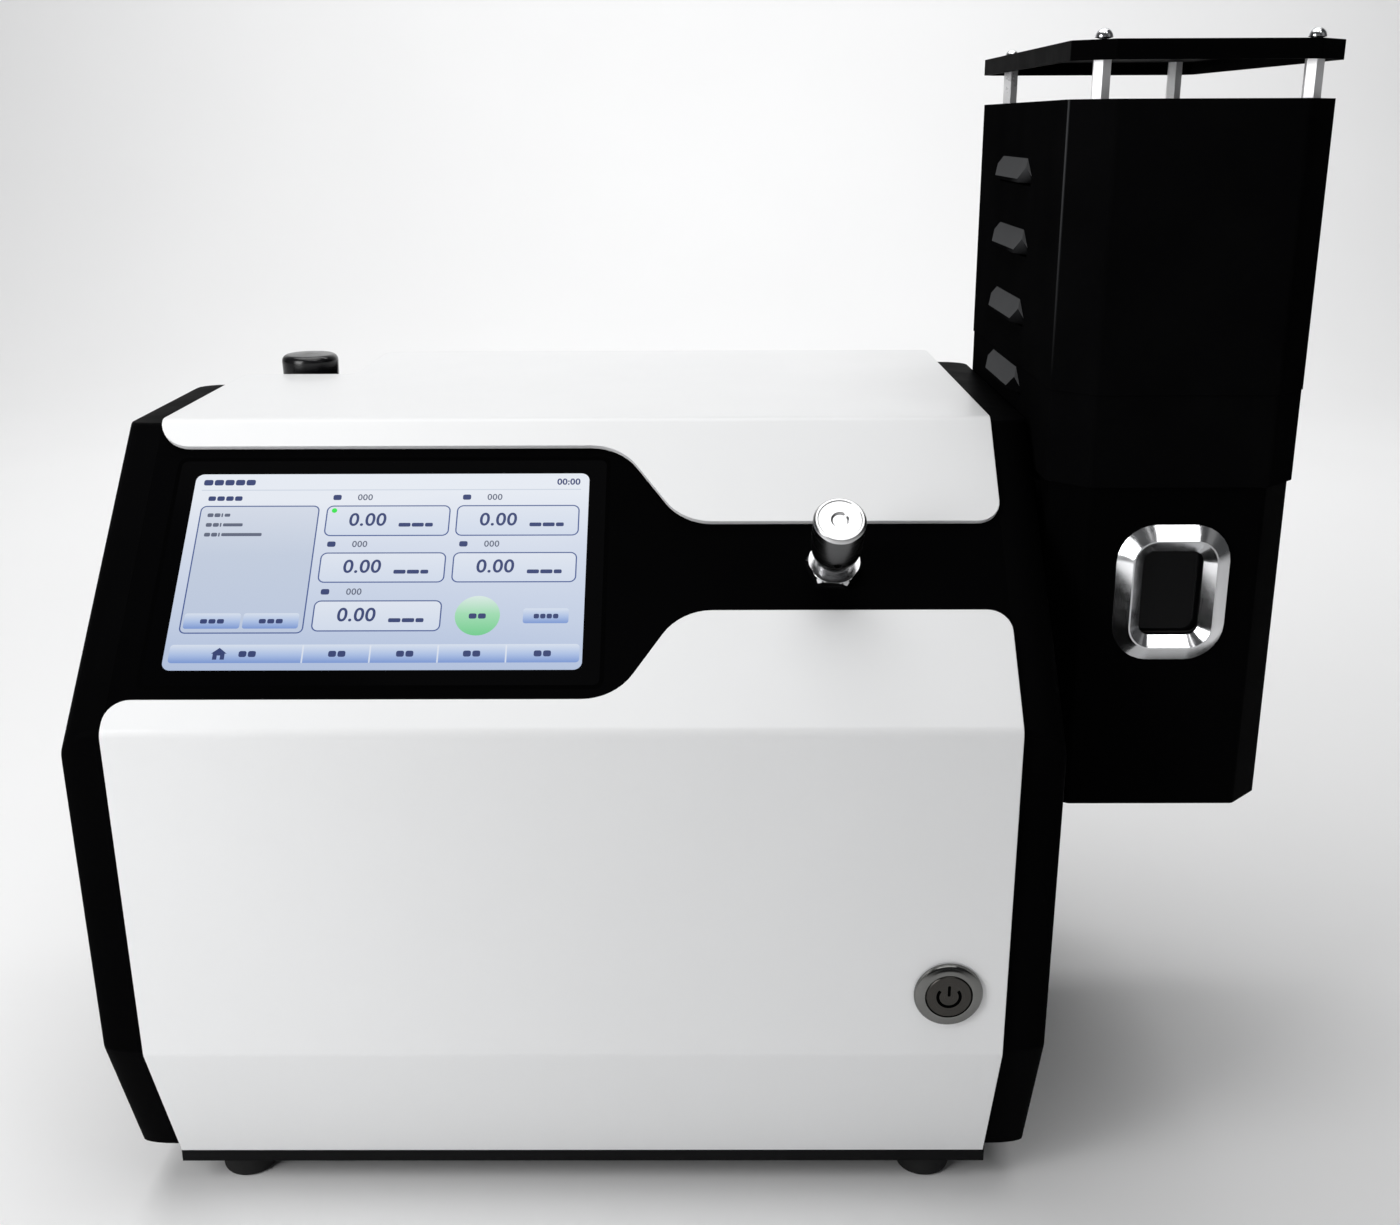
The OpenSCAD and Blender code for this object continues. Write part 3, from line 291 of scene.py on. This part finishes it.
CHROME = metal("polished_chrome", (0.86, 0.865, 0.88), 0.16, (1, 1, 1), 0.03, 0.03, 220)
DARK_STEEL = metal("black_oxide", (0.05, 0.05, 0.055), 0.38)
ALU = metal("satin_aluminium", (0.72, 0.73, 0.75), 0.34, (400, 20, 20), 0.08)
DARK_ALU = metal("anodised_black", (0.03, 0.03, 0.034), 0.4)
BRASS = metal("turned_brass", (0.78, 0.6, 0.3), 0.25)
BOARD = plastic("solder_mask", (0.01, 0.13, 0.05), 0.3)

glass, gnt, gb = mat("dark_screen_glass")
gn = noise(gnt, 12, 2)
gnt.links.new(maprange(gnt, gn.outputs["Fac"], 0.1, 0.16), gb.inputs["Roughness"])
gb.inputs["Base Color"].default_value = (0.0013, 0.0013, 0.0015, 1)
gb.inputs["Specular IOR Level"].default_value = 0.008
GLASS = glass
cg, cnt, cb_ = mat("clear_glass")
cn = noise(cnt, 40, 2)
cnt.links.new(maprange(cnt, cn.outputs["Fac"], 0.02, 0.06), cb_.inputs["Roughness"])
cb_.inputs["Base Color"].default_value = (0.93, 0.96, 0.97, 1)
cb_.inputs["Transmission Weight"].default_value = 1.0
cb_.inputs["IOR"].default_value = 1.47
CLEAR = cg
sg, snt, sb = mat("smoked_glass")
sn = noise(snt, 40, 2)
snt.links.new(maprange(snt, sn.outputs["Fac"], 0.03, 0.07), sb.inputs["Roughness"])
sb.inputs["Base Color"].default_value = (0.003, 0.003, 0.0035, 1)
sb.inputs["Specular IOR Level"].default_value = 0.02
sb.inputs["Transmission Weight"].default_value = 0.25
sb.inputs["IOR"].default_value = 1.47
SMOKED = sg

VALVE_M = slope_m(100, 69.4, -2)
BTN_M = front_m(142.8, 27.3, 0)
# the knob's end face carries a painted highlight colour, set through top
KNOB_METAL = turned("turned_knob_with_painted_top", (0.13, 0.13, 0.132), 0.24, VALVE_M, top=(0.0327, (0.66, 0.66, 0.665)))
NUT_METAL = metal("nut_steel", (0.66, 0.66, 0.67), 0.2, (60, 60, 60), 0.05, 0.05, 20)
BTN_METAL = turned("button_dark_chrome", (0.19, 0.19, 0.183), 0.12, BTN_M, 1500, 0.05)
STANDOFF = painted("standoff_steel", (0.80, 0.80, 0.81), (0.86, 0.86, 0.87), 0.3, 900, 0.0, 0.0001, 0.5, blotch=20.0)
STANDOFF.node_tree.nodes["Principled BSDF"].inputs["Metallic"].default_value = 0.3
CAP_METAL = turned("button_cap_steel", (0.058, 0.055, 0.051), 0.3, BTN_M, 2600, 0.2)

LOOK = {
    "left_cheek": (BLACK, 0.0), "right_cheek": (BLACK, 0.0), "wrap_shell": (FASCIA, 0.0003),
    "front_cover": (WHITE, 0.0005), "upper_cover": (WHITE, 0.0005), "base_tray": (TRAY, 0.0004),
    "rear_panel": (SHEET, 0.0002), "regulator_deck": (BLACK, 0.0003), "rubber_feet": (RUBBER, 0.0005),
    "foot_screws": (ZINC, 0.0002), "touch_glass": (GLASS, 0.0002), "lcd_module": (DARK_ALU, 0.0002), "display_board": (BOARD, 0.0001),
    "valve_body": (NUT_METAL, 0.0003), "valve_nut": (NUT_METAL, 0.0003), "valve_stem": (ZINC, 0.0001), "valve_knob": (KNOB_METAL, 0.0003),
    "valve_grub_screw": (DARK_STEEL, 0.0001), "button_body": (BTN_METAL, 0.0003), "button_cap": (CAP_METAL, 0.0002),
    "button_nut": (ZINC, 0.0002), "button_seal": (RUBBER, 0.0), "regulator_body": (DARK_ALU, 0.0003), "regulator_nut": (PLASTIC, 0.0003),
    "regulator_screw": (ZINC, 0.0002), "regulator_knob": (KNOB_BLACK, 0.0003), "burner_housing": (SHEET, 0.0004),
    "chimney_sleeve": (SLEEVE, 0.0004), "chimney_cap": (SHEET, 0.0004), "cap_standoffs": (STANDOFF, 0.0002), "cap_screws": (CHROME, 0.0002),
    "window_bezel": (CHROME, 0.0002), "window_gasket": (RUBBER, 0.0001), "window_glass": (SMOKED, 0.0001), "glass_chimney": (CLEAR, 0.0003),
    "burner_bracket": (ZINC, 0.0002), "mixing_chamber": (WHITE_PL, 0.0004), "burner_head": (BRASS, 0.0003), "nebulizer": (ZINC, 0.0002),
    "drain_elbow": (WHITE_PL, 0.0002), "igniter": (CERAMIC, 0.0003), "optical_block": (DARK_ALU, 0.0004), "lens": (CLEAR, 0.0001),
    "filters": (CLEAR, 0.0001), "detectors": (ZINC, 0.0001), "detector_board": (BOARD, 0.0001), "main_board": (BOARD, 0.0001),
    "board_pillars": (BRASS, 0.0001), "power_supply": (ALU, 0.0004), "mains_inlet": (PLASTIC, 0.0003), "fuse_drawer": (PLASTIC, 0.0002),
    "serial_port": (ZINC, 0.0002), "air_inlet": (ALU, 0.0003), "gas_inlet": (BRASS, 0.0003), "solenoid_valve": (BRASS, 0.0003),
    "solenoid_plunger": (ZINC, 0.0002), "gas_tube": (ORANGE, 0.0), "air_tube": (BLUE, 0.0), "panel_screws": (ZINC, 0.0002),
}


def finish_shading(o, width, angle=32.0):
    for p in o.data.polygons:
        p.use_smooth = True
    for a in ("custom_normal", "sharp_edge", "sharp_face"):
        if a in o.data.attributes:
            o.data.attributes.remove(o.data.attributes[a])
    w = o.modifiers.new("weld", "WELD")
    w.merge_threshold = 1e-6
    b = o.modifiers.new("edge", "BEVEL")
    b.width = max(width, 0.00002)
    b.segments = 2
    b.limit_method = "ANGLE"
    b.angle_limit = math.radians(angle)
    n = o.modifiers.new("normals", "WEIGHTED_NORMAL")
    n.weight = 50
    n.keep_sharp = False


def flat_true(o, angle=33.0):
    """Normals for folded sheet and prisms: flats stay flat up to their bends, bends run smooth."""
    me = o.data
    for p in me.polygons:
        p.use_smooth = True
    for a in ("custom_normal", "sharp_edge", "sharp_face"):
        if a in me.attributes:
            me.attributes.remove(me.attributes[a])
    limit = math.cos(math.radians(angle))
    size, keys, at = {}, [], {}
    nrm = [p.normal.copy() for p in me.polygons]
    for p in me.polygons:
        n = nrm[p.index]
        k = (round(n.x, 2), round(n.y, 2), round(n.z, 2), round(n.dot(p.center) * 2000))
        keys.append(k)
        size[k] = size.get(k, 0) + p.area
    spot = [(round(v.co.x * 2e5), round(v.co.y * 2e5), round(v.co.z * 2e5)) for v in me.vertices]
    for p in me.polygons:
        for i in p.vertices:
            at.setdefault(spot[i], []).append(p.index)
    out = [None] * len(me.loops)
    for p in me.polygons:
        n = nrm[p.index]
        for li in p.loop_indices:
            near = {keys[p.index]: n}
            for q in at[spot[me.loops[li].vertex_index]]:
                if nrm[q].dot(n) > limit:
                    near.setdefault(keys[q], nrm[q])
            v = Vector((0, 0, 0))
            for k, m_ in near.items():
                v += m_ * (size[k] + 1e-12)
            out[li] = v.normalized() if v.length > 0 else n
    me.normals_split_custom_set([tuple(v) for v in out])


SHEETS = ("left_cheek", "right_cheek", "wrap_shell", "front_cover", "upper_cover", "base_tray", "rear_panel", "regulator_deck",
          "burner_housing", "chimney_sleeve", "chimney_cap", "cap_standoffs", "touch_glass", "window_bezel", "power_supply", "main_board",
          "optical_block", "burner_bracket", "mains_inlet")
for name, (m, width) in LOOK.items():
    o = N[name]
    o.data.materials.clear()
    o.data.materials.append(m)
    if name in SHEETS:
        flat_true(o, 20.0 if name == "chimney_sleeve" else 33.0)
    else:
        finish_shading(o, width)

# ------------------------------------------------------------------ mesh helpers
def link(o, body="case"):
    bpy.context.scene.collection.objects.link(o)
    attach(o, body)
    return o


def rrect(x0, y0, x1, y1, r, n=7):
    out = []
    for cx, cy, a in ((x1 - r, y1 - r, 0), (x0 + r, y1 - r, 90), (x0 + r, y0 + r, 180), (x1 - r, y0 + r, 270)):
        for i in range(n + 1):
            t = math.radians(a + 90 * i / n)
            out.append((cx + r * math.cos(t), cy + r * math.sin(t)))
    return out


def disc(cx, cy, r, n=48):
    return [(cx + r * math.cos(2 * math.pi * i / n), cy + r * math.sin(2 * math.pi * i / n)) for i in range(n)]


class Flat:
    """Thin printed or lit shapes on one plane, gathered into one mesh with its own 0-1 UVs."""

    def __init__(self, name, m4, material, h):
        self.name, self.m4, self.mat, self.h = name, m4, material, h
        self.v, self.f, self.uv = [], [], []

    def poly(self, pts, box=None):
        xs = [p[0] for p in pts]
        ys = [p[1] for p in pts]
        x0, y0, x1, y1 = box or (min(xs), min(ys), max(xs), max(ys))
        base = len(self.v)
        for x, y in pts:
            self.v.append(self.m4 @ Vector((x / 1000, y / 1000, self.h / 1000)))
            self.uv.append(((x - x0) / max(1e-9, x1 - x0), (y - y0) / max(1e-9, y1 - y0)))
        self.f.append(list(range(base, base + len(pts))))
        return self

    def ring(self, outer, inner):
        n = len(outer)
        xs = [p[0] for p in outer]
        ys = [p[1] for p in outer]
        box = (min(xs), min(ys), max(xs), max(ys))
        for i in range(n):
            j = (i + 1) % n
            self.poly([outer[i], outer[j], inner[j], inner[i]], box)
        return self

    def text(self, s, x, y, size, align="LEFT", shear=0.0, bold=0.0, wide=1.0):
        c = bpy.data.curves.new("t", "FONT")
        c.body = s
        c.size = size
        c.offset = bold
        c.space_character = wide
        c.align_x = align
        c.align_y = "CENTER"
        c.shear = shear
        o = bpy.data.objects.new("t", c)
        bpy.context.scene.collection.objects.link(o)
        bpy.context.view_layer.update()
        me = bpy.data.meshes.new_from_object(o.evaluated_get(bpy.context.evaluated_depsgraph_get()))
        for p in me.polygons:
            self.poly([(x + me.vertices[i].co.x, y + me.vertices[i].co.y) for i in p.vertices], (x - 1, y - size / 2, x + 1, y + size / 2))
        bpy.data.objects.remove(o)
        bpy.data.meshes.remove(me)
        bpy.data.curves.remove(c)
        return self

    def build(self, body="case", slot=None):
        me = bpy.data.meshes.new(self.name)
        me.from_pydata([tuple(v) for v in self.v], [], self.f)
        layer = me.uv_layers.new(name="ui")
        for l in me.loops:
            layer.data[l.index].uv = self.uv[l.vertex_index]
        me.materials.append(self.mat)
        me.update()
        o = bpy.data.objects.new(self.name, me)
        return link(o, body)


# ------------------------------------------------------------------ screen picture, digits and symbols only
S0 = slope_m(-147.8, 26.4, -2)
E = 0.92
navy = (0.025, 0.045, 0.165)
UI_BG = lit("screen_back", [(0.0, (0.40, 0.50, 0.72)), (0.35, (0.56, 0.64, 0.80)), (0.75, (0.68, 0.74, 0.86)), (1.0, (0.82, 0.86, 0.93))], E, "v", 0.25)
UI_PANEL = lit("screen_panel", [(0.0, (0.52, 0.60, 0.76)), (0.6, (0.56, 0.63, 0.76)), (1.0, (0.68, 0.73, 0.83))], E)
UI_BOX = lit("screen_box", [(0.0, (0.66, 0.73, 0.86)), (1.0, (0.76, 0.81, 0.90))], E)
UI_LINE = lit("screen_line", [(0.0, (0.055, 0.10, 0.30)), (1.0, (0.075, 0.12, 0.30))], E)
UI_INK = lit("screen_ink", [(0.0, navy), (1.0, navy)], E)
UI_GREY = lit("screen_grey", [(0.0, (0.10, 0.12, 0.19)), (1.0, (0.12, 0.14, 0.2))], E)
UI_BTN = lit("screen_button", [(0.0, (0.19, 0.31, 0.66)), (0.45, (0.42, 0.54, 0.80)), (1.0, (0.70, 0.77, 0.88))], E)
UI_GREEN = lit("screen_green", [(0.0, (0.16, 0.62, 0.27)), (0.55, (0.36, 0.74, 0.46)), (1.0, (0.72, 0.85, 0.80))], E)
UI_DOT = lit("screen_dot", [(0.0, (0.02, 0.62, 0.05)), (1.0, (0.02, 0.75, 0.06))], 1.1)
UI_RULE = lit("screen_rule", [(0.0, (0.62, 0.68, 0.78)), (1.0, (0.62, 0.68, 0.78))], E)

W_, H_ = 154.08, 85.92
Flat("screen_background", S0, UI_BG, 0.03).poly(rrect(0, 0, W_, H_, 3.2)).build(slot="lcd_panel")
Flat("screen_header_rule", S0, UI_RULE, 0.05).poly([(3, 78.3), (151, 78.3), (151, 78.7), (3, 78.7)]).build(slot="lcd_panel")
Flat("screen_left_panel", S0, UI_PANEL, 0.05).poly(rrect(3.9, 15.2, 50.1, 71.3, 2.4)).build(slot="lcd_panel")
boxes = [(52.9, 57.4, 100.9, 71.3), (103.3, 57.4, 150.8, 71.3), (52.9, 36.8, 100.8, 50.1), (103.4, 36.8, 150.6, 50.1), (52.9, 16.0, 100.9, 29.2)]
bx = Flat("screen_value_boxes", S0, UI_BOX, 0.05)
ln = Flat("screen_outlines", S0, UI_LINE, 0.08)
for (x0, y0, x1, y1) in boxes:
    bx.poly(rrect(x0, y0, x1, y1, 2.6))
for (x0, y0, x1, y1), r in [(b, 2.6) for b in boxes] + [((3.9, 15.2, 50.1, 71.3), 2.4)]:
    ln.ring(rrect(x0, y0, x1, y1, r), rrect(x0 + 0.5, y0 + 0.5, x1 - 0.5, y1 - 0.5, r - 0.5))
bx.build(slot="lcd_panel")
ln.build(slot="lcd_panel")
bt = Flat("screen_buttons", S0, UI_BTN, 0.07)
for (x0, y0, x1, y1) in [(5.2, 17.3, 26.2, 23.8), (27.2, 17.3, 48.0, 23.8), (131.4, 19.3, 148.4, 25.6)]:
    bt.poly(rrect(x0, y0, x1, y1, 1.0))
bt.poly(rrect(1.9, 3.0, 153.0, 10.6, 1.4))
bt.build(slot="lcd_panel")
Flat("screen_menu_gaps", S0, UI_BOX, 0.09).poly([(50.8, 3.0), (51.4, 3.0), (51.4, 10.2), (50.8, 10.2)]).poly(
    [(75.6, 3.0), (76.2, 3.0), (76.2, 10.2), (75.6, 10.2)]).poly([(100.6, 3.0), (101.2, 3.0), (101.2, 10.2), (100.6, 10.2)]).poly(
    [(125.7, 3.0), (126.3, 3.0), (126.3, 10.2), (125.7, 10.2)]).build(slot="lcd_panel")
Flat("screen_round_button", S0, UI_GREEN, 0.07).poly(disc(114.4, 22.6, 8.4)).build(slot="lcd_panel")
Flat("screen_status_dot", S0, UI_DOT, 0.09).poly(disc(55.9, 69.0, 1.05, 24)).build(slot="lcd_panel")
ink = Flat("screen_digits", S0, UI_INK, 0.10)
for (x0, y0, x1, y1) in boxes:
    ink.text("0.00", x0 + 16.2, (y0 + y1) / 2 + 0.2, 8.0, "CENTER", 0.05, 0.13, 1.06)
ink.text("00:00", 150.6, 81.9, 3.9, "RIGHT", 0, 0.1, 1.05)
# plain dashes stand where a real screen has words
def dashes(f, x, y, h, widths, gap=0.55):
    for w in widths:
        f.poly(rrect(x, y - h / 2, x + w, y + h / 2, min(h, w) * 0.3, 3))
        x += w + gap


dashes(ink, 3.4, 82.0, 2.6, (3.6, 3.6, 3.6, 3.6, 3.6))
dashes(ink, 6.2, 74.6, 2.1, (2.9, 2.9, 2.9, 2.9))
for (x0, y0, x1, y1) in boxes:
    dashes(ink, x0 + 28.4, (y0 + y1) / 2 - 1.9, 1.7, (4.6, 4.6, 3.0), 0.5)
    dashes(ink, x0 + 1.9, y1 + 3.7, 2.4, (3.2,))
for x in (11.3, 33.2):
    dashes(ink, x, 20.4, 1.9, (2.6, 2.6, 2.6))
dashes(ink, 135.4, 22.3, 2.0, (2.0, 2.0, 2.0, 2.0), 0.4)
for x, k in ((27.6, 2), (60.6, 2), (85.6, 2), (110.2, 2), (136.2, 2)):
    dashes(ink, x, 6.7, 2.5, (2.9,) * k)
dashes(ink, 111.2, 22.4, 2.2, (2.9, 2.9))
ink.poly([(17.4, 6.9), (20.3, 9.3), (23.2, 6.9), (22.5, 6.9), (22.5, 4.4), (20.9, 4.4), (20.9, 6.1), (19.7, 6.1), (19.7, 4.4), (18.1, 4.4), (18.1, 6.9)])
ink.build(slot="lcd_panel")
gr = Flat("screen_small_digits", S0, UI_GREY, 0.10)
for (x0, y0, x1, y1) in boxes:
    gr.text("000", x0 + 11.4, y1 + 3.6, 3.8, bold=0.05, wide=1.05)
for i in range(3):
    dashes(gr, 7.0, 67.0 - i * 4.4, 1.7, (2.3, 2.3, 0.6), 0.4)
    dashes(gr, 13.6, 67.0 - i * 4.4, 1.4, ((2.2,), (7.6,), (15.5,))[i])
gr.build(slot="lcd_panel")

# thin black seal round the glass, over the gap to the sheet
SEAL = plastic("glass_seal", (0.0012, 0.0012, 0.0013), 0.5, 0.0)
Flat("glass_seal", S0, SEAL, 0.02).ring(rrect(-8.2, -7.8, 162.28, 93.72, 3.6), rrect(-6.6, -6.2, 160.68, 92.12, 2.4)).build(slot="rubber")

# ------------------------------------------------------------------ power symbol on the push button
SYMBOL = plastic("symbol_dark", (0.0012, 0.0012, 0.0014), 0.6, 0.0)
sym = Flat("power_symbol", BTN_M, SYMBOL, 2.74)
n = 40
arc = []
for i in range(n + 1):
    a = math.radians(143 + 254 * i / n)
    arc.append((math.cos(a), math.sin(a)))
for i in range(n):
    (ax, ay), (bx_, by_) = arc[i], arc[i + 1]
    sym.poly([(ax * 4.8, ay * 4.8), (bx_ * 4.8, by_ * 4.8), (bx_ * 3.6, by_ * 3.6), (ax * 3.6, ay * 3.6)])
sym.poly(rrect(-0.55, 0.2, 0.55, 4.7, 0.4, 3))
sym.build("push_button", "rubber")

# ------------------------------------------------------------------ camera, from a fit of the photograph
psi, th, rho = math.radians(-0.294), math.radians(17.498), math.radians(0.221)
fwd = Vector((math.sin(psi) * math.cos(th), math.cos(psi) * math.cos(th), -math.sin(th)))
right = Vector((math.cos(psi), -math.sin(psi), 0))
down = fwd.cross(right)
r2 = right * math.cos(rho) + down * math.sin(rho)
d2 = -right * math.sin(rho) + down * math.cos(rho)
cam = bpy.data.objects.new("camera", bpy.data.cameras.new("camera"))
bpy.context.scene.collection.objects.link(cam)
rot = Matrix((r2, -d2, -fwd)).transposed().to_4x4()
cam.matrix_world = Matrix.Translation(P(52.34, -513.91, 422.43)) @ rot
cam.data.sensor_fit = "HORIZONTAL"
cam.data.sensor_width = 36
cam.data.lens = 1552.1 / 1400 * 36
cam.data.clip_start = 0.05
bpy.context.scene.camera = cam
bpy.context.scene.view_settings.view_transform = "Standard"

# ------------------------------------------------------------------ studio
def sweep_floor():
    """Pale floor that curves up into a backdrop."""
    prof = [(-6.0, 0.0), (1.6, 0.0)]
    for i in range(1, 17):
        a = math.radians(90 * i / 16)
        prof.append((1.6 + 1.2 * math.sin(a), 1.2 * (1 - math.cos(a))))
    prof.append((2.8, 6.0))
    xs = (-6, 6)
    v = [(x, y, z) for x in xs for y, z in prof]
    k = len(prof)
    f = [(i, i + 1, k + i + 1, k + i) for i in range(k - 1)]
    me = bpy.data.meshes.new("floor")
    me.from_pydata(v, [], f)
    for p in me.polygons:
        p.use_smooth = True
    m, nt, b = mat("pale_floor")
    n = noise(nt, 2, 2)
    nt.links.new(ramp(nt, n.outputs["Fac"], [(0.3, (0.90, 0.90, 0.902)), (0.7, (0.92, 0.92, 0.922))]), b.inputs["Base Color"])
    b.inputs["Roughness"].default_value = 0.8
    b.inputs["Specular IOR Level"].default_value = 0.1
    me.materials.append(m)
    o = bpy.data.objects.new("floor", me)
    bpy.context.scene.collection.objects.link(o)


sweep_floor()


def area(name, loc, target, size, power, size_y=None, col=(1, 1, 1)):
    l = bpy.data.lights.new(name, "AREA")
    l.energy = power
    l.size = size
    if size_y:
        l.shape = "RECTANGLE"
        l.size_y = size_y
    l.color = col
    o = bpy.data.objects.new(name, l)
    bpy.context.scene.collection.objects.link(o)
    o.location = loc
    o.rotation_euler = (Vector(target) - Vector(loc)).to_track_quat("-Z", "Y").to_euler()
    return o


area("top_softbox", (-0.1, -0.1, 2.0), (0, 0.0, 0.2), 1.8, 16.5, 1.4)
area("key_left", (-0.76, -0.70, 0.58), (-0.18, 0, 0.15), 0.5, 6.5, 0.7)
area("right_fill", (1.5, -1.0, 0.9), (0, 0, 0.2), 0.9, 0.5, 1.2)
area("front_fill", (-0.3, -2.4, 0.9), (0, 0, 0.15), 1.6, 0.5, 0.9)
area("bezel_kicker", (0.76, -1.08, 1.9), (0.18, -0.09, 0.27), 0.45, 1.8, 0.3)
area("back_wash", (0.0, 0.9, 2.2), (0, 2.6, 0.8), 2.5, 48, 1.0)
world = bpy.data.worlds.new("world")
bpy.context.scene.world = world
world.use_nodes = True
world.node_tree.nodes["Background"].inputs["Color"].default_value = (0.95, 0.97, 1.0, 1)
world.node_tree.nodes["Background"].inputs["Strength"].default_value = 0.06
